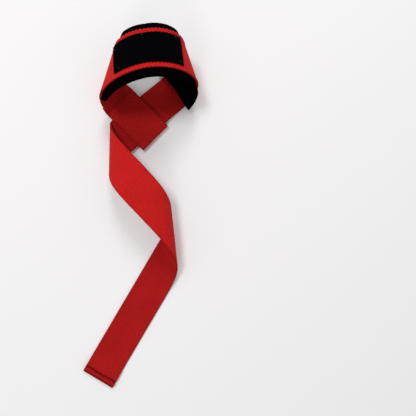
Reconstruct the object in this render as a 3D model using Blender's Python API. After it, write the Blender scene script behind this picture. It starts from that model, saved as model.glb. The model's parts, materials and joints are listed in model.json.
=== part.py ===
"""A padded lifting strap, lying on a flat surface as it was laid down.

One length of webbing is sewn back on itself at one end, as a flat end loop. It turns over the wrist
pad, passes through its own end loop, turns over twice more and ends in a turned-under hem. The wrist
pad is sewn inside the wrist loop and a plain label outside it. Each piece is first made flat, cut
across at the strap's creases, and then folded along them. Metres, +Z up, the surface at z = 0.
"""

import math
from collections import namedtuple

import bmesh
import bpy
from mathutils import Matrix, Vector

# Driving sizes
WEB_WIDTH = 0.038
WEB_THICK = 0.002
WEB_EDGE = 0.0004
WRIST_HEIGHT = 0.0645
LEFT_ARM = 0.0515
LOOP_LAYER = 0.062
RIGHT_ARM = 0.083
FIRST_CURL = 0.063
MIDDLE_RUN = 0.0455
SECOND_CURL = 0.083
TAIL = 0.135
HEM_LENGTH = 0.007
SETTLE = 0.008
PAD_THICK = 0.005
PAD_LEFT = 0.065
PAD_RIGHT = 0.104
PAD_NEAR_MARGIN = 0.006
PAD_FAR_MARGIN = 0.0052
PAD_EDGE = 0.0012
LABEL_LENGTH = 0.070
LABEL_WIDTH = 0.029
LABEL_THICK = 0.0008
CLEARANCE = 0.0003
SLIDING_GAP = 0.0004

# How the label's middle lies, in degrees: its heading, its slope down to the far side and its roll.
LABEL_HEADING = 7.0
LABEL_SLOPE = 14.0
LABEL_ROLL = -7.0

# A crease crosses the strap at s, slanted, with the strap's frame (along, across, outwards) on its two
# sides. The flat coordinates are s along the strap from the label's middle, w across it towards the
# wrist loop's far side, and h outwards from the webbing's outer face.
Crease = namedtuple("Crease", "s point slant before after")

# A bend of the strap: its length, its turn about creases whose slant runs to the value given here,
# its twist about the strap's own length, all in degrees, and the creases that it is made of. The
# rows that fit are stretched a little, so that the strap comes down to its level.
Bend = namedtuple("Bend", "length turn slant twist steps fits")

LABEL_SLANT = 4.5
LEFT_SIDE = (
    Bend(length=0.67 * WRIST_HEIGHT, turn=52, slant=37, twist=-8, steps=8, fits=True),
    Bend(length=0.71 * WRIST_HEIGHT, turn=78, slant=5, twist=11, steps=10, fits=True),
)
RIGHT_SIDE = (
    Bend(length=0.74 * WRIST_HEIGHT, turn=70, slant=-18, twist=6, steps=8, fits=True),
    Bend(length=0.78 * WRIST_HEIGHT, turn=84, slant=-17, twist=-7, steps=10, fits=True),
)
CURL_SLANT = -30
TURNOVERS = (
    Bend(length=0.22 * FIRST_CURL, turn=96, slant=-48, twist=-1, steps=8, fits=False),
    Bend(length=0.78 * FIRST_CURL, turn=85, slant=-42, twist=-1, steps=10, fits=False),
    Bend(length=0.50 * MIDDLE_RUN, turn=10, slant=-55, twist=7, steps=5, fits=False),
    Bend(length=0.50 * MIDDLE_RUN, turn=16, slant=-54, twist=4, steps=5, fits=False),
    Bend(length=SECOND_CURL, turn=160, slant=-54, twist=2, steps=16, fits=True),
)
FOLD_STEPS = 12
RAMP_TURN = 12
LOOP_RAMP_TURN = 48

# What follows from the driving sizes
INNER_LEVEL = WEB_THICK + CLEARANCE
PASSING_LEVEL = WEB_THICK + SLIDING_GAP
UPPER_LEVEL = 2 * (WEB_THICK + SLIDING_GAP)
LOOP_RADIUS = (UPPER_LEVEL - WEB_THICK) / 2
DOWN = Vector((0, 0, -1))


def turned(frame, degrees, axis):
    return Matrix.Rotation(math.radians(degrees), 3, axis) @ frame


def ramp_radius(rise, turn):
    return rise / (2 * (1 - math.cos(math.radians(turn))))


def mitre(crease):
    """How far a layer's point moves for each metre outwards from this crease."""
    first, last = crease.before.col[2], crease.after.col[2]
    return (first + last) / (1 + first.dot(last))


class Strap:
    """The strap's creases, laid from the middle of the label in one direction (sign 1 or -1)."""

    def __init__(self, sign):
        frame = turned(Matrix.Identity(3), LABEL_ROLL, "Y")
        frame = turned(turned(frame, -LABEL_SLOPE, "X"), LABEL_HEADING, "Z")
        self.sign = sign
        self.s = 0.0
        self.point = Vector((0, 0, WRIST_HEIGHT))
        self.frame = frame
        self.slant = LABEL_SLANT
        self.creases = []

    def straight(self, length):
        self.s += self.sign * length
        self.point = self.point + self.sign * length * self.frame.col[0]

    def crease(self, length, after):
        """One crease in the middle of a stretch of this length."""
        self.straight(length / 2)
        slant = math.radians(self.slant)
        self.creases.append(Crease(self.s, self.point, slant, self.frame, after))
        self.frame = after
        self.straight(length / 2)

    def arc(self, radius, turn, steps):
        """A plain bend about creases square to the strap. A turn above 0 curls inwards."""
        self.slant = 0
        length = radius * math.radians(abs(turn))
        for _ in range(steps):
            after = turned(self.frame, self.sign * turn / steps, self.frame.col[1])
            self.crease(length / steps, after)

    def ramp(self, rise, turn):
        """Two arcs that shift the strap by rise, inwards first if the turn is above 0."""
        radius = ramp_radius(rise, turn)
        self.arc(radius, turn, 3)
        self.arc(radius, -turn, 3)

    def planned(self, bends, settle):
        """The steps of these bends, then of the settling that lays the strap's outer face down."""
        frame, slant, steps = self.frame, self.slant, []
        for bend in bends:
            for k in range(bend.steps):
                now = slant + (bend.slant - slant) * (k + 0.5) / bend.steps
                axis = frame.col[0] * math.sin(math.radians(now))
                axis = axis + frame.col[1] * math.cos(math.radians(now))
                bent = turned(frame, self.sign * bend.turn / bend.steps, axis)
                after = turned(bent, self.sign * bend.twist / bend.steps, bent.col[0])
                steps.append((bend.length / bend.steps, bend.fits, now, frame, after))
                frame = after
            slant = bend.slant
        axis = frame.col[2].cross(DOWN)
        angle = math.degrees(math.atan2(axis.length, frame.col[2].dot(DOWN)))
        for _ in range(4):
            after = turned(frame, angle / 4, axis) if angle > 0.001 else frame
            steps.append((settle / 4, False, slant, frame, after))
            frame = after
        return steps

    def lay(self, bends, level, settle):
        """Follows the bends down to this level, where a crease with no turn starts the flat run."""
        steps = self.planned(bends, settle)
        fixed, fitting = 0.0, 0.0
        for length, fits, _, before, after in steps:
            climb = self.sign * length / 2 * (before.col[0].z + after.col[0].z)
            fitting += climb * fits
            fixed += climb * (not fits)
        stretch = (level - self.point.z - fixed) / fitting
        for length, fits, slant, _, after in steps:
            self.slant = slant
            self.crease(length * stretch if fits else length, after)
        self.crease(0.0, self.frame)

    def follow(self, met, length):
        """Lies against the outer face of these creases, met in turn, for at least this length."""
        for upper in met:
            point = upper.point + CLEARANCE * mitre(upper)
            step = (point - self.point).length
            self.s += self.sign * step
            self.point = point
            sides = [flipped(upper.after), flipped(upper.before)]
            self.creases.append(Crease(self.s, point, -upper.slant, *sides))
            length -= step
            if length < 0:
                return


def flipped(frame):
    return Matrix((-frame.col[0], frame.col[1], -frame.col[2])).transposed()


def left_creases():
    """From the label down the wrist's left side, along the left arm and round the end loop."""
    strap = Strap(-1)
    strap.lay(LEFT_SIDE, UPPER_LEVEL, SETTLE)
    met = strap.creases[::-1]
    strap.straight(LEFT_ARM - LOOP_RADIUS - WEB_THICK)
    raw_end = strap.s - LOOP_LAYER
    strap.arc(LOOP_RADIUS, -180, FOLD_STEPS)
    rise = UPPER_LEVEL - CLEARANCE - WEB_THICK
    run = 2 * ramp_radius(rise, LOOP_RAMP_TURN) * math.sin(math.radians(LOOP_RAMP_TURN))
    reach = (strap.point - met[0].point).dot(strap.frame.col[0])
    strap.straight(reach - run - SETTLE / 12)
    strap.ramp(rise, -LOOP_RAMP_TURN)
    strap.follow(met, LOOP_LAYER - reach)
    return strap.creases, raw_end


def right_creases():
    """From the label down the wrist's right side, through the end loop, over twice and to the hem."""
    strap = Strap(1)
    strap.lay(RIGHT_SIDE, 0.0, SETTLE)
    landed = strap.s
    strap.straight(SETTLE)
    strap.ramp(PASSING_LEVEL, RAMP_TURN)
    strap.straight(landed + RIGHT_ARM - strap.s)
    strap.slant = CURL_SLANT
    strap.lay(TURNOVERS, 0.0, SETTLE)
    ramp = 2 * ramp_radius(INNER_LEVEL, RAMP_TURN) * math.radians(RAMP_TURN)
    strap.straight(TAIL - ramp - HEM_LENGTH - WEB_THICK)
    strap.ramp(INNER_LEVEL, RAMP_TURN)
    strap.straight(HEM_LENGTH)
    strap.arc(CLEARANCE / 2, -180, FOLD_STEPS)
    strap.straight(HEM_LENGTH)
    strap.crease(0.0, strap.frame)
    return strap.creases


def all_creases():
    """Every crease from the end loop's raw end to the hem, and that raw end's place."""
    middle = Strap(1)
    middle.crease(0.0, middle.frame)
    left, raw_end = left_creases()
    return left[::-1] + middle.creases + right_creases(), raw_end


def on_crease(crease, w, h):
    """The folded place of the flat point (w, h) on this crease."""
    both = crease.before + crease.after
    across = (math.tan(crease.slant) * both.col[0] + both.col[1]) / 2
    return crease.point + w * across + h * mitre(crease)


def folded(creases, s, w, h):
    """The folded place of the flat point (s, w, h), held up where its outer face meets the table."""
    k = 0
    while k < len(creases) - 2 and creases[k + 1].s + w * math.tan(creases[k + 1].slant) < s:
        k += 1
    first, last = creases[k], creases[k + 1]
    start = first.s + w * math.tan(first.slant)
    share = (s - start) / (last.s + w * math.tan(last.slant) - start)
    place = on_crease(first, w, h).lerp(on_crease(last, w, h), share)
    outer = on_crease(first, w, 0.0).lerp(on_crease(last, w, 0.0), share)
    place.z += max(0.0, -outer.z)
    return place


def flat_block(start, end, near, far, inner, outer, edge):
    """A flat block between these values of s, w and h, its long edges rounded."""
    bm = bmesh.new()
    bmesh.ops.create_cube(bm, size=1)
    bmesh.ops.scale(bm, vec=(end - start, far - near, outer - inner), verts=bm.verts)
    middle = ((start + end) / 2, (near + far) / 2, (inner + outer) / 2)
    bmesh.ops.translate(bm, vec=middle, verts=bm.verts)
    lengthwise = [
        side for side in bm.edges if abs(side.verts[0].co.x - side.verts[1].co.x) > (end - start) / 2
    ]
    bmesh.ops.bevel(
        bm, geom=lengthwise, offset=edge, segments=2, profile=0.5, affect="EDGES", material=-1
    )
    return bm


def fold_up(bm, creases):
    """Cuts the flat block at each crease, then moves it to its folded place."""
    planes = [((c.s, 0, 0), (math.cos(c.slant), -math.sin(c.slant), 0)) for c in creases]
    for place, normal in planes + [((0, 0, 0), (0, 1, 0))]:
        bmesh.ops.bisect_plane(
            bm, geom=bm.verts[:] + bm.edges[:] + bm.faces[:], dist=1e-7, plane_co=place, plane_no=normal
        )
    for vert in bm.verts:
        vert.co = folded(creases, *vert.co)
    bmesh.ops.recalc_face_normals(bm, faces=bm.faces)
    return bm


def matte(name, colour, roughness):
    material = bpy.data.materials.new(name)
    material.use_nodes = True
    shader = material.node_tree.nodes["Principled BSDF"]
    shader.inputs["Base Color"].default_value = (*colour, 1)
    shader.inputs["Roughness"].default_value = roughness
    return material


def piece(name, bm, material):
    mesh = bpy.data.meshes.new(name)
    bm.to_mesh(mesh)
    bm.free()
    mesh.materials.append(material)
    mesh.shade_smooth()
    mesh.set_sharp_from_angle(angle=math.radians(35))
    obj = bpy.data.objects.new(name, mesh)
    bpy.data.collections["lifting_strap"].objects.link(obj)
    return obj


def webbing(creases, raw_end):
    """One length of webbing, from the end loop's raw end to the turned-under hem."""
    half = WEB_WIDTH / 2
    block = flat_block(raw_end, creases[-1].s, -half, half, -WEB_THICK, 0.0, WEB_EDGE)
    return piece("webbing", fold_up(block, creases), matte("red_webbing", (0.5, 0.012, 0.014), 0.85))


def wrist_pad(creases):
    """The thick rubber sleeve pad, sewn against the webbing's inner face round the wrist loop."""
    near = -WEB_WIDTH / 2 - PAD_NEAR_MARGIN
    far = WEB_WIDTH / 2 + PAD_FAR_MARGIN
    outer = -INNER_LEVEL
    block = flat_block(-PAD_LEFT, PAD_RIGHT, near, far, outer - PAD_THICK, outer, PAD_EDGE)
    return piece("wrist_pad", fold_up(block, creases), matte("black_rubber", (0.012, 0.01, 0.012), 0.7))


def label(creases):
    """The plain woven label, sewn on the webbing's outer face."""
    end, side = LABEL_LENGTH / 2, LABEL_WIDTH / 2
    block = flat_block(-end, end, -side, side, CLEARANCE, CLEARANCE + LABEL_THICK, LABEL_THICK / 4)
    return piece("label", fold_up(block, creases), matte("black_label", (0.012, 0.01, 0.014), 0.8))


def rest_on_origin(objects):
    """Moves the pieces together, so that the middle of their box's underside is at the origin."""
    corners = [vert.co for obj in objects for vert in obj.data.vertices]
    low = Vector([min(corner[k] for corner in corners) for k in range(3)])
    high = Vector([max(corner[k] for corner in corners) for k in range(3)])
    move = Vector((-(low.x + high.x) / 2, -(low.y + high.y) / 2, -low.z))
    for obj in objects:
        obj.data.transform(Matrix.Translation(move))


def main():
    for obj in list(bpy.data.objects):
        bpy.data.objects.remove(obj, do_unlink=True)
    bpy.context.scene.collection.children.link(bpy.data.collections.new("lifting_strap"))
    creases, raw_end = all_creases()
    rest_on_origin([webbing(creases, raw_end), wrist_pad(creases), label(creases)])


main()
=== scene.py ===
import json
import math
from bisect import bisect
from collections import namedtuple

import bmesh
import bpy
from mathutils import Matrix, Vector, noise

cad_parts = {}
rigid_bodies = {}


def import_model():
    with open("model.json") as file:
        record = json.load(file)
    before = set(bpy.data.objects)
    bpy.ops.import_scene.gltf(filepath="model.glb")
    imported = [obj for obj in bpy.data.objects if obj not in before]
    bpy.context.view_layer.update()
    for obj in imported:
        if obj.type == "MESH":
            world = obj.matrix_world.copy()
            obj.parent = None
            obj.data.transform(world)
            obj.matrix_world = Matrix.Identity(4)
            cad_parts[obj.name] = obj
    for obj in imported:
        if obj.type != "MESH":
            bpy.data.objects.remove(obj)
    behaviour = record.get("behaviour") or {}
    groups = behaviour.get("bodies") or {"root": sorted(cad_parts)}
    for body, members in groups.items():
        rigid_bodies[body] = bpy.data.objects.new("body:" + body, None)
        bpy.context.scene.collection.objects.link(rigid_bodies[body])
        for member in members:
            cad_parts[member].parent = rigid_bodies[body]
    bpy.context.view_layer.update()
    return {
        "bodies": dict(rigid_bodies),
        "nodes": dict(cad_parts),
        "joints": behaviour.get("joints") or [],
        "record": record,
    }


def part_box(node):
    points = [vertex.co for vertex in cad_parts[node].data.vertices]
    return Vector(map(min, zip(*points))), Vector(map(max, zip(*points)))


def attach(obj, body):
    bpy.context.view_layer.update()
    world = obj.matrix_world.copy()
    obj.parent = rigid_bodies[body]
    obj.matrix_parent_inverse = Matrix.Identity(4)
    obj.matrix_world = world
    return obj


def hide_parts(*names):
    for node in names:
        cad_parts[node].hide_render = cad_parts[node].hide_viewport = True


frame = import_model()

# The webbing: one length of dense red cotton webbing, woven with fine slanted ribs across. It is
# folded back and sewn on itself at one end, turns over the wrist, passes through its own end loop,
# turns over twice more and ends in a turned-under hem. It is made flat, then folded at its creases.
WEB_WIDTH = 0.038
WEB_THICK = 0.002
WRIST_HEIGHT = 0.0645
LEFT_ARM = 0.0515
LOOP_LAYER = 0.062
RIGHT_ARM = 0.083
FIRST_CURL = 0.063
MIDDLE_RUN = 0.0455
SECOND_CURL = 0.083
TAIL = 0.135
HEM_LENGTH = 0.007
SETTLE = 0.008
CLEARANCE = 0.0003
SLIDING_GAP = 0.0004
LABEL_HEADING = 7.0
LABEL_SLOPE = 14.0
LABEL_ROLL = -7.0
LABEL_SLANT = 4.5
CURL_SLANT = -30
RAMP_TURN = 12
LOOP_RAMP_TURN = 48

# How many creases each arc has, and how many there are for each step that a bend's row states.
RAMP_STEPS = 5
SETTLE_STEPS = 8
LOOP_STEPS = 24
HEM_STEPS = 16
FINER = 3

# A crease crosses the strap at s and leans by so much along it for each metre across.
Crease = namedtuple("Crease", "s point lean before after")
# A bend turns about creases that slant, and twists. The rows that fit are stretched to reach a level.
Bend = namedtuple("Bend", "length turn slant twist steps fits")
LEFT_SIDE = (
    Bend(length=0.67 * WRIST_HEIGHT, turn=52, slant=37, twist=-8, steps=8, fits=True),
    Bend(length=0.71 * WRIST_HEIGHT, turn=78, slant=5, twist=11, steps=10, fits=True),
)
RIGHT_SIDE = (
    Bend(length=0.74 * WRIST_HEIGHT, turn=70, slant=-18, twist=6, steps=8, fits=True),
    Bend(length=0.78 * WRIST_HEIGHT, turn=84, slant=-17, twist=-7, steps=10, fits=True),
)
TURNOVERS = (
    Bend(length=0.22 * FIRST_CURL, turn=96, slant=-48, twist=-1, steps=8, fits=False),
    Bend(length=0.78 * FIRST_CURL, turn=85, slant=-42, twist=-1, steps=10, fits=False),
    Bend(length=0.50 * MIDDLE_RUN, turn=10, slant=-55, twist=7, steps=5, fits=False),
    Bend(length=0.50 * MIDDLE_RUN, turn=16, slant=-54, twist=4, steps=5, fits=False),
    Bend(length=SECOND_CURL, turn=160, slant=-54, twist=2, steps=16, fits=True),
)
INNER_LEVEL = WEB_THICK + CLEARANCE
PASSING_LEVEL = WEB_THICK + SLIDING_GAP
UPPER_LEVEL = 2 * (WEB_THICK + SLIDING_GAP)
LOOP_RADIUS = (UPPER_LEVEL - WEB_THICK) / 2


def turned(frame, degrees, axis):
    """This frame, turned about an axis."""
    return Matrix.Rotation(math.radians(degrees), 3, axis) @ frame


def flipped(frame):
    """The frame of a layer that lies face to face with this one and runs the other way."""
    return Matrix((-frame.col[0], frame.col[1], -frame.col[2])).transposed()


def ramp_radius(rise, turn):
    """The radius of the two arcs that shift the strap by rise."""
    return rise / (2 * (1 - math.cos(math.radians(turn))))


def mitre(crease):
    """How far a layer's point moves for each metre outwards from this crease."""
    first, last = crease.before.col[2], crease.after.col[2]
    return (first + last) / (1 + first.dot(last))


class Strap:
    """The strap's creases, laid from the middle of the label in one direction (sign 1 or -1)."""

    def __init__(self, sign):
        rolled = turned(Matrix.Identity(3), LABEL_ROLL, "Y")
        self.sign = sign
        self.s = 0.0
        self.point = Vector((0, 0, WRIST_HEIGHT))
        self.frame = turned(turned(rolled, -LABEL_SLOPE, "X"), LABEL_HEADING, "Z")
        self.slant = LABEL_SLANT
        self.creases = []

    def straight(self, length):
        """Goes on for this length with no crease."""
        self.s += self.sign * length
        self.point = self.point + self.sign * length * self.frame.col[0]

    def crease(self, length, after):
        """One crease in the middle of a stretch of this length."""
        self.straight(length / 2)
        lean = math.tan(math.radians(self.slant))
        self.creases.append(Crease(self.s, self.point, lean, self.frame, after))
        self.frame = after
        self.straight(length / 2)

    def arc(self, radius, turn, steps):
        """A plain bend about creases square to the strap. A turn above 0 curls inwards."""
        self.slant = 0
        length = radius * math.radians(abs(turn))
        for _ in range(steps):
            after = turned(self.frame, self.sign * turn / steps, self.frame.col[1])
            self.crease(length / steps, after)

    def ramp(self, rise, turn):
        """Two arcs that shift the strap by rise, inwards first if the turn is above 0."""
        radius = ramp_radius(rise, turn)
        self.arc(radius, turn, RAMP_STEPS)
        self.arc(radius, -turn, RAMP_STEPS)

    def planned(self, bends, settle):
        """The steps of these bends, then of the settling that lays the strap's outer face down."""
        frame, slant, steps = self.frame, self.slant, []
        for bend in bends:
            count = bend.steps * FINER
            for k in range(count):
                now = slant + (bend.slant - slant) * (k + 0.5) / count
                axis = frame.col[0] * math.sin(math.radians(now))
                axis = axis + frame.col[1] * math.cos(math.radians(now))
                bent = turned(frame, self.sign * bend.turn / count, axis)
                after = turned(bent, self.sign * bend.twist / count, bent.col[0])
                steps.append((bend.length / count, bend.fits, now, frame, after))
                frame = after
            slant = bend.slant
        down = Vector((0, 0, -1))
        axis = frame.col[2].cross(down)
        angle = math.degrees(math.atan2(axis.length, frame.col[2].dot(down)))
        for _ in range(SETTLE_STEPS):
            after = turned(frame, angle / SETTLE_STEPS, axis) if angle > 0.001 else frame
            steps.append((settle / SETTLE_STEPS, False, slant, frame, after))
            frame = after
        return steps

    def lay(self, bends, level, settle):
        """Follows the bends down to this level, where a crease with no turn starts the flat run."""
        steps = self.planned(bends, settle)
        fixed, fitting = 0.0, 0.0
        for length, fits, _, before, after in steps:
            climb = self.sign * length / 2 * (before.col[0].z + after.col[0].z)
            fitting += climb * fits
            fixed += climb * (not fits)
        stretch = (level - self.point.z - fixed) / fitting
        for length, fits, slant, _, after in steps:
            self.slant = slant
            self.crease(length * stretch if fits else length, after)
        self.crease(0.0, self.frame)

    def follow(self, met, length):
        """Lies against the outer face of these creases, met in turn, for at least this length."""
        for upper in met:
            point = upper.point + CLEARANCE * mitre(upper)
            step = (point - self.point).length
            self.s += self.sign * step
            self.point = point
            sides = [flipped(upper.after), flipped(upper.before)]
            self.creases.append(Crease(self.s, point, -upper.lean, *sides))
            length -= step
            if length < 0:
                return


# From the label down the wrist's left side, along the left arm and round the end loop.
left = Strap(-1)
left.lay(LEFT_SIDE, UPPER_LEVEL, SETTLE)
met = left.creases[::-1]
left.straight(LEFT_ARM - LOOP_RADIUS - WEB_THICK)
loop_rim = left.s
raw_end = left.s - LOOP_LAYER
left.arc(LOOP_RADIUS, -180, LOOP_STEPS)
loop_rise = UPPER_LEVEL - CLEARANCE - WEB_THICK
loop_run = 2 * ramp_radius(loop_rise, LOOP_RAMP_TURN) * math.sin(math.radians(LOOP_RAMP_TURN))
reach = (left.point - met[0].point).dot(left.frame.col[0])
left.straight(reach - loop_run - SETTLE / 12)
left.ramp(loop_rise, -LOOP_RAMP_TURN)
left.follow(met, LOOP_LAYER - reach)

middle = Strap(1)
middle.crease(0.0, middle.frame)

# From the label down the wrist's right side, through the end loop, over twice and to the hem.
right = Strap(1)
right.lay(RIGHT_SIDE, 0.0, SETTLE)
right_landing = right.s
right.straight(SETTLE)
right.ramp(PASSING_LEVEL, RAMP_TURN)
right.straight(right_landing + RIGHT_ARM - right.s)
right.slant = CURL_SLANT
right.lay(TURNOVERS, 0.0, SETTLE)
hem_ramp = 2 * ramp_radius(INNER_LEVEL, RAMP_TURN) * math.radians(RAMP_TURN)
right.straight(TAIL - hem_ramp - HEM_LENGTH - WEB_THICK)
right.ramp(INNER_LEVEL, RAMP_TURN)
right.straight(HEM_LENGTH)
hem_rim = right.s
right.arc(CLEARANCE / 2, -180, HEM_STEPS)
right.straight(HEM_LENGTH)
right.crease(0.0, right.frame)
hem_end = right.s

creases = left.creases[::-1] + middle.creases + right.creases
place = Vector((0, 0, 0))


def on_crease(crease, w, h):
    """The folded place of the flat point (w, h) on this crease."""
    both = crease.before + crease.after
    across = (crease.lean * both.col[0] + both.col[1]) / 2
    return crease.point + w * across + h * mitre(crease)


def folded(s, w, h):
    """The folded place of the flat point (s, w, h), held up where its outer face meets the surface."""
    after = bisect(creases, s, 1, len(creases) - 1, key=lambda crease: crease.s + w * crease.lean)
    first, last = creases[after - 1], creases[after]
    start = first.s + w * first.lean
    share = (s - start) / (last.s + w * last.lean - start)
    outer = on_crease(first, w, 0.0).lerp(on_crease(last, w, 0.0), share)
    spot = on_crease(first, w, h).lerp(on_crease(last, w, h), share)
    spot.z += max(0.0, -outer.z)
    return spot + place


# The folded strap goes where the solid of the webbing lies.
half_web = WEB_WIDTH / 2
corners = [
    folded(c.s + w * c.lean, w, h)
    for c in creases for w in (-half_web, half_web) for h in (0, -WEB_THICK)
]
cad_low, cad_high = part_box("webbing")
own_low = [min(corner[k] for corner in corners) for k in range(2)]
own_high = [max(corner[k] for corner in corners) for k in range(2)]
place = Vector([(cad_low[k] + cad_high[k] - own_low[k] - own_high[k]) / 2 for k in range(2)] + [0.0])

# The hem's skew grows over a length of the tail, and nothing before its reach is moved. The tail's
# heading is taken at a crease of the ramp, which comes a few before the hem's arc.
HEM_SKEW = 0.003
SKEW_LENGTH = 0.04
SKEW_REACH = 0.05
RAMP_CREASE = -HEM_STEPS - 4
rim_point = folded(hem_rim, 0.0, 0.0)
rim_heading = right.creases[RAMP_CREASE].before.col[0]


def laid(s, w, h):
    """The folded place, with the hem cut a little out of square, so that its left corner is shorter."""
    spot = folded(s, w, h)
    if s < hem_rim - SKEW_REACH:
        return spot
    near_rim = min(1.0, max(0.0, 1 + (spot - rim_point).dot(rim_heading) / SKEW_LENGTH))
    return spot - HEM_SKEW * near_rim * (w + half_web) / WEB_WIDTH * rim_heading


def flat_block(start, end, near, far, inner, outer, edge, segments):
    """A flat block between these values of s, w and h, its long edges rounded."""
    bm = bmesh.new()
    bmesh.ops.create_cube(bm, size=1)
    bmesh.ops.scale(bm, vec=(end - start, far - near, outer - inner), verts=bm.verts)
    centre = ((start + end) / 2, (near + far) / 2, (inner + outer) / 2)
    bmesh.ops.translate(bm, vec=centre, verts=bm.verts)
    lengthwise = [e for e in bm.edges if abs(e.verts[0].co.x - e.verts[1].co.x) > (end - start) / 2]
    bmesh.ops.bevel(
        bm, geom=lengthwise, offset=edge, segments=segments, profile=0.5, affect="EDGES", material=-1
    )
    return bm


# The cuts on each side of a seam, how far past a block's ends a leaning crease still counts, and how
# near such a crease an even step is left out.
SEAM_CUTS = 5
SEAM_CUT = 0.0006
CREASE_REACH = 0.04
LEAN_ROOM = 0.01
LEAN_SIDE = 0.02


def sliced(bm, spacing, lanes, low, high, seams=()):
    """Cuts a flat block at each crease, at even steps between them, at its seams and lengthwise in lanes."""
    beside = range(-SEAM_CUTS, SEAM_CUTS + 1)
    planes = [((seam + k * SEAM_CUT, 0, 0), (1, 0, 0)) for seam in seams for k in beside]
    reached = [c for c in creases if low - CREASE_REACH < c.s < high + CREASE_REACH]
    planes += [((c.s, 0, 0), (1, -c.lean, 0)) for c in reached]
    at = low
    while at < high - spacing:
        at += spacing
        near = [abs(c.s - at) for c in creases if c.lean == 0]
        leaning = [c for c in creases if c.lean and abs(c.s - at) < LEAN_ROOM + LEAN_SIDE * abs(c.lean)]
        if min(near) > spacing / 3 and not leaning:
            planes.append(((at, 0, 0), (1, 0, 0)))
    planes += [((0, w, 0), (0, 1, 0)) for w in lanes]
    for co, no in planes:
        bmesh.ops.bisect_plane(
            bm, geom=bm.verts[:] + bm.edges[:] + bm.faces[:], dist=1e-7, plane_co=co, plane_no=no
        )
    return bm


def fold_up(name, bm, shaped, painted_shade_at):
    """Keeps the flat place as a UV map in metres and how much painted shade each point takes, then folds and
    rides it.
    """
    painted_shade = bm.verts.layers.float.new("painted_shade")
    for vert in bm.verts:
        vert[painted_shade] = painted_shade_at(*vert.co)
    flat = bm.loops.layers.uv.new("flat")
    for face in bm.faces:
        for loop in face.loops:
            loop[flat].uv = loop.vert.co.xy
    for vert in bm.verts:
        vert.co = laid(*shaped(*vert.co))
    bmesh.ops.recalc_face_normals(bm, faces=bm.faces)
    mesh = bpy.data.meshes.new(name)
    bm.to_mesh(mesh)
    bm.free()
    mesh.shade_smooth()
    mesh.set_sharp_from_angle(angle=math.radians(50))
    obj = bpy.data.objects.new(name, mesh)
    bpy.context.scene.collection.objects.link(obj)
    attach(obj, "root")
    return obj


# The cross seams, the grooves that they pull into the webbing's inner side, and the cloth's bulges
# along the strap on both sides of the hem's seam.
HEM_SEAM = hem_rim - 0.0058
LOOP_SEAM = loop_rim + 0.0505
INNER_SIDE = -0.0008
HEM_STRAY = 0.0009
HEM_PULL = 0.02
HEM_GROOVE_DEPTH = 0.0012
HEM_GROOVE_WIDTH = 0.0010
# The width of the painted shade along the hem's fold.
HEM_FOLD_SHADE_WIDTH = 0.0014
LOOP_PULL = 0.01
LOOP_GROOVE_DEPTH = 0.0004
LOOP_GROOVE_WIDTH = 0.0008
SELVEDGE_WAVER = 0.004
# The width of the painted shade along each selvedge.
SELVEDGE_SHADE_WIDTH = 0.0007
Bulge = namedtuple("Bulge", "along width height")
HEM_BULGES = (Bulge(0.0030, 0.0016, 0.0005), Bulge(-0.0022, 0.0010, 0.0003))


def bell(distance, width):
    """1 at no distance, falling away smoothly over about this width."""
    return math.exp(-((distance / width) ** 2))


def hem_wander(w):
    """How far the hem's seam strays from straight."""
    return HEM_STRAY * noise.noise(Vector((w * 160, 7.7, 0)))


def hem_groove(s, w):
    """1 in the middle of the hem's groove, 0 away from it."""
    return bell(s - HEM_SEAM - hem_wander(w), HEM_GROOVE_WIDTH)


def woven_form(s, w, h):
    """The webbing's small unevenness: wavering selvedges, and the hem pulled down along its seam."""
    side = noise.noise(Vector((s * 60, 3.1, 0)))
    w = w * (1 + SELVEDGE_WAVER * side)
    if HEM_SEAM - HEM_PULL < s < hem_rim and h < INNER_SIDE:
        h += HEM_GROOVE_DEPTH * hem_groove(s, w)
        h -= sum(b.height * bell(s - HEM_SEAM - b.along, b.width) for b in HEM_BULGES)
    if abs(s - LOOP_SEAM) < LOOP_PULL and h < INNER_SIDE:
        h += LOOP_GROOVE_DEPTH * bell(s - LOOP_SEAM, LOOP_GROOVE_WIDTH)
    return s, w, h


def woven_painted_shade(s, w, h):
    """How much painted shade a point takes: 1 at the bottom of a seam's groove, less on a fold or a
    selvedge, 0 on the open cloth.
    """
    seam = hem_groove(s, w) if h < INNER_SIDE else 0.0
    fold = bell(s - hem_rim, HEM_FOLD_SHADE_WIDTH)
    loop = 0.5 * bell(s - LOOP_SEAM, LOOP_GROOVE_WIDTH) if h < INNER_SIDE else 0.0
    return max(seam, 0.8 * fold, loop, 0.5 * bell(half_web - abs(w), SELVEDGE_SHADE_WIDTH))


def made(tree, kind, settings=None, **inputs):
    """A node with its settings, and its inputs, by name, linked or set."""
    node = tree.nodes.new(kind)
    for key, value in (settings or {}).items():
        setattr(node, key, value)
    for key, value in inputs.items():
        numbered = key[0] == "i" and key[1:].isdigit()
        socket = node.inputs[int(key[1:]) if numbered else key.replace("_", " ")]
        if isinstance(value, bpy.types.NodeSocket):
            tree.links.new(value, socket)
        else:
            socket.default_value = value
    return node


def sum_of(tree, operation, *values):
    """A Math node's result for these values."""
    given = {f"i{k}": value for k, value in enumerate(values)}
    return made(tree, "ShaderNodeMath", {"operation": operation}, **given).outputs[0]


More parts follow.
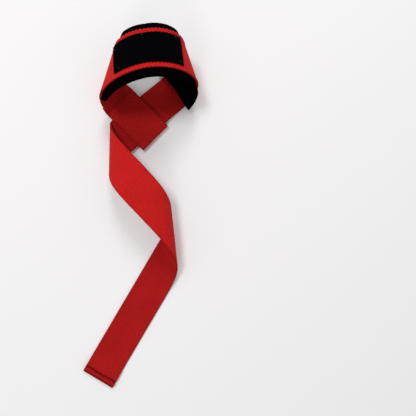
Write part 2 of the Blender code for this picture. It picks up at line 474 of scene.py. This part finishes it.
def weave_group():
    """Ribs across a band and yarns along it, as a height, a shade from 0 to 1, and the painted shade of
    grooves, folds and selvedges.
    """
    group = bpy.data.node_groups.new("ribbed_weave", "ShaderNodeTree")
    for name, value in (("Rib Pitch", 0.0022), ("Yarn Pitch", 0.0015), ("Lean", 0.0), ("Grain", 0.5)):
        socket = group.interface.new_socket(name, in_out="INPUT", socket_type="NodeSocketFloat")
        socket.default_value = value
    for name in ("Height", "Shade", "Painted Shade"):
        group.interface.new_socket(name, in_out="OUTPUT", socket_type="NodeSocketFloat")
    given = group.nodes.new("NodeGroupInput").outputs
    flat = made(group, "ShaderNodeUVMap", {"uv_map": "flat"}).outputs[0]
    split = made(group, "ShaderNodeSeparateXYZ", None, Vector=flat).outputs
    leaning = sum_of(group, "MULTIPLY_ADD", split[1], given["Lean"], split[0])
    wave = []
    for along, pitch in ((leaning, given["Rib Pitch"]), (split[1], given["Yarn Pitch"])):
        turns = sum_of(group, "DIVIDE", along, pitch)
        wave.append(sum_of(group, "SINE", sum_of(group, "MULTIPLY", turns, math.tau)))
    rib, yarn = wave
    dots = sum_of(group, "MULTIPLY", rib, yarn)
    fuzz = made(group, "ShaderNodeTexNoise", None, Vector=flat, Scale=620.0, Detail=1.0).outputs[0]
    patch = made(group, "ShaderNodeTexNoise", None, Vector=flat, Scale=45.0, Detail=2.0).outputs[0]
    height = sum_of(group, "MULTIPLY_ADD", rib, 0.3, sum_of(group, "MULTIPLY_ADD", dots, 0.2, 0.5))
    relief = sum_of(group, "MULTIPLY_ADD", dots, 0.4, sum_of(group, "MULTIPLY", rib, 0.4))
    relief = sum_of(group, "MULTIPLY", relief, given["Grain"])
    mottle = sum_of(group, "MULTIPLY_ADD", patch, 0.3, sum_of(group, "MULTIPLY", fuzz, 0.9))
    shade = sum_of(group, "MULTIPLY_ADD", mottle, 1.0, sum_of(group, "MULTIPLY_ADD", relief, 0.5, -0.1))
    painted_shade = made(group, "ShaderNodeAttribute", {"attribute_name": "painted_shade"}).outputs["Fac"]
    out = group.nodes.new("NodeGroupOutput")
    group.links.new(height, out.inputs["Height"])
    group.links.new(shade, out.inputs["Shade"])
    group.links.new(painted_shade, out.inputs["Painted Shade"])
    return group


RIBBED_WEAVE = weave_group()
# A cloth's dark and light colours, its painted shade colour, its weave in metres, and how it takes the
# light.
Cloth = namedtuple("Cloth", "dark light deep bump rib yarn lean grain roughness sheen specular")


def woven_material(name, cloth):
    """Cloth whose colour runs from dark to light with the weave's shade, and turns to painted shade in seam
    grooves, on the hem's fold and along the selvedges.
    """
    material = bpy.data.materials.new(name)
    material.use_nodes = True
    tree = material.node_tree
    shader = tree.nodes["Principled BSDF"]
    weave = made(tree, "ShaderNodeGroup", {"node_tree": RIBBED_WEAVE}, Rib_Pitch=cloth.rib)
    weave.inputs["Yarn Pitch"].default_value = cloth.yarn
    weave.inputs["Lean"].default_value = cloth.lean
    weave.inputs["Grain"].default_value = cloth.grain
    plain = made(tree, "ShaderNodeMix", {"data_type": "RGBA"}, Factor=weave.outputs["Shade"])
    plain.inputs[6].default_value = (*cloth.dark, 1)
    plain.inputs[7].default_value = (*cloth.light, 1)
    # Painted shade: the colour darkens to the cloth's darkest colour in seam grooves, on the hem's fold and
    # along the selvedges.
    shaded = made(tree, "ShaderNodeMix", {"data_type": "RGBA"}, Factor=weave.outputs["Painted Shade"])
    tree.links.new(plain.outputs[2], shaded.inputs[6])
    shaded.inputs[7].default_value = (*cloth.deep, 1)
    tree.links.new(shaded.outputs[2], shader.inputs["Base Color"])
    raised = made(tree, "ShaderNodeBump", None, Height=weave.outputs["Height"], Strength=cloth.bump)
    raised.inputs["Distance"].default_value = 0.0004
    tree.links.new(raised.outputs[0], shader.inputs["Normal"])
    shader.inputs["Roughness"].default_value = cloth.roughness
    shader.inputs["Specular IOR Level"].default_value = cloth.specular
    shader.inputs["Sheen Weight"].default_value = cloth.sheen
    shader.inputs["Sheen Roughness"].default_value = 0.5
    shader.inputs["Sheen Tint"].default_value = (1.0, 0.2, 0.18, 1)
    return material


# Each cloth's darkest colour is painted shade, for the seams' grooves, the hem's fold and the selvedges.
FACE_CLOTH = Cloth(
    dark=(0.30, 0.005, 0.006), light=(0.70, 0.017, 0.016), deep=(0.13, 0.002, 0.003),
    bump=0.5, rib=0.0024, yarn=0.0019, lean=-0.05, grain=0.5, roughness=0.95, sheen=0.06, specular=0.08,
)
BACK_CLOTH = FACE_CLOTH._replace(
    dark=(0.21, 0.004, 0.004), light=(0.52, 0.012, 0.012), deep=(0.09, 0.001, 0.002), lean=0.04
)
RED_FACE = woven_material("red_webbing_face", FACE_CLOTH)
RED_BACK = woven_material("red_webbing_back", BACK_CLOTH)

WEB_STEP = 0.003
WEB_LANE = 0.0022
web_bm = flat_block(raw_end, hem_end, -half_web, half_web, -WEB_THICK, 0.0, edge=0.0006, segments=3)
web_lanes = [k * WEB_LANE for k in range(-8, 9)]
sliced(web_bm, WEB_STEP, web_lanes, raw_end, hem_end, seams=(HEM_SEAM, LOOP_SEAM))
for face in web_bm.faces:
    face.material_index = int(face.calc_center_median().z < -0.6 * WEB_THICK)
webbing = fold_up("woven_webbing", web_bm, woven_form, woven_painted_shade)
webbing.data.materials.append(RED_FACE)
webbing.data.materials.append(RED_BACK)
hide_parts("webbing")

# The wrist pad: a strip of foamed rubber 5 mm thick with a knitted black face, sewn inside the wrist
# loop. It stands out about 7 mm past each of the webbing's edges.
PAD_THICK = 0.005
PAD_LEFT = 0.065
PAD_RIGHT = 0.104
PAD_NEAR = -half_web - 0.0068
PAD_FAR = half_web + 0.0074
PAD_STEP = 0.0035
PAD_LANE = 0.00165
FIRST_LANE = PAD_NEAR + 0.0018
# How far past the webbing's edge the foam is drawn in, how wide and how deep. Then its unevenness.
SEWN_OUT = 0.0009
SEWN_WIDTH = 0.0011
SEWN_DEPTH = 0.0006
PUFF_HEIGHT = 0.0003
RIM_WAVER = 0.0002
RIM_START = half_web + 0.002


def padded_form(s, w, h):
    """The foam puffs a little between its rims, and is drawn in where the webbing is sewn on it."""
    depth = (-INNER_LEVEL - h) / PAD_THICK
    sewn_in = bell(abs(w) - half_web - SEWN_OUT, SEWN_WIDTH)
    h -= SEWN_DEPTH * sewn_in * (1 - depth)
    puff = noise.noise(Vector((s * 38, w * 38, 1.7)))
    h += PUFF_HEIGHT * puff * depth
    rim = noise.noise(Vector((s * 70, 5.2, 0)))
    return s, w + (RIM_WAVER * rim if abs(w) > RIM_START else 0.0), h


pad_under = -INNER_LEVEL - PAD_THICK
pad_bm = flat_block(
    -PAD_LEFT, PAD_RIGHT, PAD_NEAR, PAD_FAR, pad_under, -INNER_LEVEL, edge=0.0014, segments=3
)
pad_lanes = [FIRST_LANE + k * PAD_LANE for k in range(30)]
sliced(pad_bm, PAD_STEP, pad_lanes, -PAD_LEFT, PAD_RIGHT)
wrist_pad = fold_up("foam_wrist_pad", pad_bm, padded_form, lambda s, w, h: 0.0)
KNIT_CLOTH = Cloth(
    dark=(0.0003, 0.0002, 0.0003), light=(0.0028, 0.0024, 0.0028), deep=(0.0, 0.0, 0.0),
    bump=0.6, rib=0.0010, yarn=0.0010, lean=0.0, grain=1.0, roughness=1.0, sheen=0.0, specular=0.0,
)
BLACK_KNIT = woven_material("black_knit_foam", KNIT_CLOTH)
wrist_pad.data.materials.append(BLACK_KNIT)
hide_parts("wrist_pad")

# The label: a stiff black woven patch with nothing on it, laid on the webbing's outer face and sewn
# down round its edge.
LABEL_LEFT = 0.035
LABEL_RIGHT = 0.036
LABEL_WIDTH = 0.029
LABEL_UNDER = 0.0002
LABEL_OVER = 0.0011
LABEL_STEP = 0.0015
LABEL_LANE = 0.0019
# How far the cut edges fray, how near an edge that reaches, and how the right end runs out of square.
FRAY = 0.0004
FRAY_REACH = 0.0003
LABEL_STRETCH = 0.02
LABEL_SKEW = 0.04
half_label = LABEL_WIDTH / 2


def label_form(s, w, h):
    """The label's cut edges, a little uneven, and its right end cut out of square."""
    fray = FRAY * noise.noise(Vector((s * 420, w * 420, 0)))
    if abs(w) > half_label - FRAY_REACH:
        w += math.copysign(fray, w)
    if s > LABEL_RIGHT - FRAY_REACH or s < FRAY_REACH - LABEL_LEFT:
        s += math.copysign(fray, s)
    s += max(0.0, s) * (LABEL_STRETCH + LABEL_SKEW * w / LABEL_WIDTH)
    return s, w, h


label_bm = flat_block(
    -LABEL_LEFT, LABEL_RIGHT, -half_label, half_label, LABEL_UNDER, LABEL_OVER, edge=0.00025, segments=2
)
label_lanes = [k * LABEL_LANE for k in range(-7, 8)]
sliced(label_bm, LABEL_STEP, label_lanes, -LABEL_LEFT, LABEL_RIGHT)
label = fold_up("plain_label", label_bm, label_form, lambda s, w, h: 0.0)
PATCH_CLOTH = KNIT_CLOTH._replace(
    dark=(0.0004, 0.0003, 0.0005), light=(0.0024, 0.0019, 0.0027), rib=0.0006, yarn=0.0005, specular=0.01
)
BLACK_WEAVE = woven_material("black_woven_label", PATCH_CLOTH)
label.data.materials.append(BLACK_WEAVE)
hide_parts("label")

# The seams: a red zigzag holds each edge of the webbing down on the pad, a black one goes round the
# label, four tacks painted pale grey as a glint lie on it, and short red stitches, the hem's darkened
# with painted shade, cross the end loop's seam and the hem.
def sewn(name, runs, radius, material):
    """Threads along runs of flat points (s, w, h), as one mesh."""
    curve = bpy.data.curves.new(name, "CURVE")
    curve.dimensions = "3D"
    curve.bevel_depth = radius
    curve.bevel_resolution = 1
    curve.use_fill_caps = True
    for run in runs:
        spline = curve.splines.new("POLY")
        spline.points.add(len(run) - 1)
        for point, spot in zip(spline.points, run):
            point.co = (*laid(*spot), 1)
    guide = bpy.data.objects.new(name, curve)
    bpy.context.scene.collection.objects.link(guide)
    bpy.context.view_layer.update()
    mesh = bpy.data.meshes.new_from_object(guide.evaluated_get(bpy.context.evaluated_depsgraph_get()))
    bpy.data.objects.remove(guide, do_unlink=True)
    bm = bmesh.new()
    bm.from_mesh(mesh)
    bmesh.ops.remove_doubles(bm, verts=bm.verts, dist=1e-6)
    bmesh.ops.recalc_face_normals(bm, faces=bm.faces)
    bm.to_mesh(mesh)
    bm.free()
    mesh.shade_smooth()
    mesh.materials.clear()
    mesh.materials.append(material)
    thread = bpy.data.objects.new(name, mesh)
    bpy.context.scene.collection.objects.link(thread)
    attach(thread, "root")


def thread_material(name, colour, roughness, specular):
    """Spun thread, a little lighter and darker along its length."""
    material = bpy.data.materials.new(name)
    material.use_nodes = True
    tree = material.node_tree
    shader = tree.nodes["Principled BSDF"]
    where = made(tree, "ShaderNodeTexCoord").outputs["Object"]
    spun = made(tree, "ShaderNodeTexNoise", None, Vector=where, Scale=900.0, Detail=2.0)
    mix = made(tree, "ShaderNodeMix", {"data_type": "RGBA"}, Factor=spun.outputs[0])
    mix.inputs[6].default_value = (*[0.7 * c for c in colour], 1)
    mix.inputs[7].default_value = (*[1.3 * c for c in colour], 1)
    tree.links.new(mix.outputs[2], shader.inputs["Base Color"])
    twist = made(tree, "ShaderNodeBump", None, Height=spun.outputs[0], Strength=0.4, Distance=0.0002)
    tree.links.new(twist.outputs[0], shader.inputs["Normal"])
    shader.inputs["Roughness"].default_value = roughness
    shader.inputs["Specular IOR Level"].default_value = specular
    return material


RED_THREAD = thread_material("red_thread", (0.56, 0.014, 0.018), roughness=0.8, specular=0.2)
# Red thread darkened with painted shade, for the shadow line along the hem's seam.
RED_THREAD_PAINTED_SHADE = thread_material("red_thread_painted_shade", (0.14, 0.003, 0.004), roughness=0.9, specular=0.1)
BLACK_THREAD = thread_material("black_thread", (0.0016, 0.0014, 0.0018), roughness=0.9, specular=0.1)
# Thread coloured pale grey as a painted glint, for the tacks on the black label.
THREAD_PAINTED_GLINT = thread_material("thread_painted_glint", (0.10, 0.10, 0.11), roughness=0.8, specular=0.2)

# A point in one turn of a zigzag: its share of the turn, how far out past the sewn edge it lies, and
# how far up from the webbing's face.
Stitch = namedtuple("Stitch", "share out up")
EDGE_ZIGZAG = 0.0036
EDGE_MARGIN = 0.003
OUTERMOST = 0.5
EDGE_TURN = (
    Stitch(0.0, -0.0020, 0.00012), Stitch(0.35, -0.0005, 0.0),
    Stitch(OUTERMOST, 0.0, -0.0005), Stitch(0.65, -0.0005, 0.0),
)


def edge_zigzag(side, snug, overhang):
    """The zigzag thread over one edge of the webbing, reaching out to the pad beside it."""
    for k in range(int((PAD_LEFT + PAD_RIGHT - 2 * EDGE_MARGIN) / EDGE_ZIGZAG)):
        for share, out, up in EDGE_TURN:
            edge = half_web + snug * out + overhang * (share == OUTERMOST)
            yield EDGE_MARGIN - PAD_LEFT + (k + share) * EDGE_ZIGZAG, side * edge, up


near_run = list(edge_zigzag(-1, snug=0.6, overhang=0.0))
far_run = list(edge_zigzag(1, snug=1.0, overhang=0.0005))
sewn("pad_zigzag_thread", [near_run, far_run], 0.0004, RED_THREAD)

LABEL_ZIGZAG = 0.0034
LABEL_TURN = (
    Stitch(0.25, -0.0009, 0.00118), Stitch(0.5, 0.0002, 0.0010), Stitch(0.75, 0.0007, 0.0001),
)
far_corner = LABEL_RIGHT * (1 + LABEL_STRETCH + LABEL_SKEW / 2)
LABEL_CORNERS = (
    Vector((-LABEL_LEFT, -half_label)), Vector((LABEL_RIGHT, -half_label)),
    Vector((far_corner, half_label)), Vector((-LABEL_LEFT, half_label)),
)


def label_zigzag(first, last):
    """The zigzag along one side of the label: in on the label, out on the webbing."""
    along = (last - first).normalized()
    outward = Vector((along.y, -along.x))
    count = round((last - first).length / LABEL_ZIGZAG)
    for k in range(count):
        for share, out, up in LABEL_TURN:
            spot = first.lerp(last, (k + share) / count) + out * outward
            yield spot.x, spot.y, up


label_runs = [list(label_zigzag(LABEL_CORNERS[k - 1], LABEL_CORNERS[k])) for k in range(4)]
sewn("label_zigzag_thread", label_runs, 0.0003, BLACK_THREAD)

# The short tacks on the label, each a low bow between its feet, coloured pale grey as a painted glint.
Tack = namedtuple("Tack", "s w length")
TACKS = (
    Tack(-0.002, 0.0128, 0.0010), Tack(0.030, 0.0126, 0.0008),
    Tack(-0.029, -0.0122, 0.0010), Tack(0.032, -0.0118, 0.0007),
)
TACK_FOOT = 0.00112
TACK_TOP = 0.0013
tack_runs = [
    [(s, w, TACK_FOOT), (s + length / 2, w + length / 3, TACK_TOP), (s + length, w, TACK_FOOT)]
    for s, w, length in TACKS
]
sewn("label_tack_thread", tack_runs, 0.0002, THREAD_PAINTED_GLINT)

# A row's margin from the selvedges, then where each stitch starts and half its length, as shares of
# the pitch, and how far its ends dip into the cloth and its middle stands out of it.
ROW_MARGIN = 0.002
STITCH_START = 0.12
HALF_STITCH = 0.38
STITCH_DIP = 0.0002
STITCH_RISE = 0.00012


def stitch_row(s, h, count, wander=None):
    """Short stitches across the strap at s, each dipping into the cloth at its ends."""
    pitch = (WEB_WIDTH - 2 * ROW_MARGIN) / count
    half = HALF_STITCH * pitch
    for k in range(count):
        w = -half_web + ROW_MARGIN + (k + STITCH_START) * pitch
        base = s + (wander(w) if wander else 0.0)
        crown = (base, w + half, h - STITCH_RISE)
        yield [(base, w, h + STITCH_DIP), crown, (base, w + 2 * half, h + STITCH_DIP)]


loop_runs = list(stitch_row(LOOP_SEAM, 0.0003 - WEB_THICK, count=14))
sewn("loop_seam_thread", loop_runs, 0.00022, RED_THREAD)
hem_runs = list(stitch_row(HEM_SEAM, 0.0011 - WEB_THICK, count=15, wander=hem_wander))
# The hem's stitches take the darkened thread: painted shade along the seam.
sewn("hem_seam_thread", hem_runs, 0.00026, RED_THREAD_PAINTED_SHADE)

# The pale surface under the strap, and the soft light of a photograph for sale: three broad lamps,
# the strongest from the upper left, and a white surround that fills the shadows.
SURFACE_LEVEL = -0.0002
surface_bm = bmesh.new()
bmesh.ops.create_grid(surface_bm, x_segments=1, y_segments=1, size=3.0)
bmesh.ops.translate(surface_bm, vec=(0, 0, SURFACE_LEVEL), verts=surface_bm.verts)
surface_mesh = bpy.data.meshes.new("pale_surface")
surface_bm.to_mesh(surface_mesh)
surface_bm.free()
surface = bpy.data.objects.new("pale_surface", surface_mesh)
bpy.context.scene.collection.objects.link(surface)
PALE = bpy.data.materials.new("pale_surface")
PALE.use_nodes = True
pale_tree = PALE.node_tree
pale = pale_tree.nodes["Principled BSDF"]
where = made(pale_tree, "ShaderNodeTexCoord").outputs["Object"]
mottle = made(pale_tree, "ShaderNodeTexNoise", None, Vector=where, Scale=3.0, Detail=2.0)
pale_mix = made(pale_tree, "ShaderNodeMix", {"data_type": "RGBA"}, Factor=mottle.outputs[0])
pale_mix.inputs[6].default_value = (0.86, 0.85, 0.855, 1)
pale_mix.inputs[7].default_value = (0.87, 0.86, 0.865, 1)
pale_tree.links.new(pale_mix.outputs[2], pale.inputs["Base Color"])
pale.inputs["Roughness"].default_value = 0.95
pale.inputs["Specular IOR Level"].default_value = 0.0
surface.data.materials.append(PALE)

world = bpy.data.worlds.new("white_surround")
world.use_nodes = True
world.node_tree.nodes["Background"].inputs["Color"].default_value = (1.0, 0.995, 1.0, 1)
world.node_tree.nodes["Background"].inputs["Strength"].default_value = 0.5
bpy.context.scene.world = world

# Each lamp's place, width and power: over the left shoulder, behind the cuff, and low in front.
Lamp = namedtuple("Lamp", "name place width power")
LAMPS = (
    Lamp("key_lamp", Vector((-0.9, 0.9, 2.2)), 0.7, 23.0),
    Lamp("back_lamp", Vector((0.1, 1.8, 1.5)), 0.7, 15.5),
    Lamp("front_lamp", Vector((-0.5, -1.7, 1.6)), 0.7, 5.0),
)
for lamp in LAMPS:
    lamp_data = bpy.data.lights.new(lamp.name, "AREA")
    lamp_data.shape = "DISK"
    lamp_data.size = lamp.width
    lamp_data.energy = lamp.power
    shining = bpy.data.objects.new(lamp.name, lamp_data)
    shining.location = lamp.place
    shining.rotation_euler = (-lamp.place).to_track_quat("-Z", "Y").to_euler()
    bpy.context.scene.collection.objects.link(shining)

bpy.context.scene.view_settings.view_transform = "Standard"
bpy.context.scene.view_settings.look = "None"

# The camera, nearly straight above the strap, as the photograph was taken.
camera_data = bpy.data.cameras.new("camera")
camera_data.sensor_width = 36
camera_data.lens = 31.46
camera = bpy.data.objects.new("camera", camera_data)
camera.location = (0.0273, 0.0390, 0.407)
camera.rotation_euler = (math.radians(-3.6), math.radians(-7.0), 0)
bpy.context.scene.collection.objects.link(camera)
bpy.context.scene.camera = camera
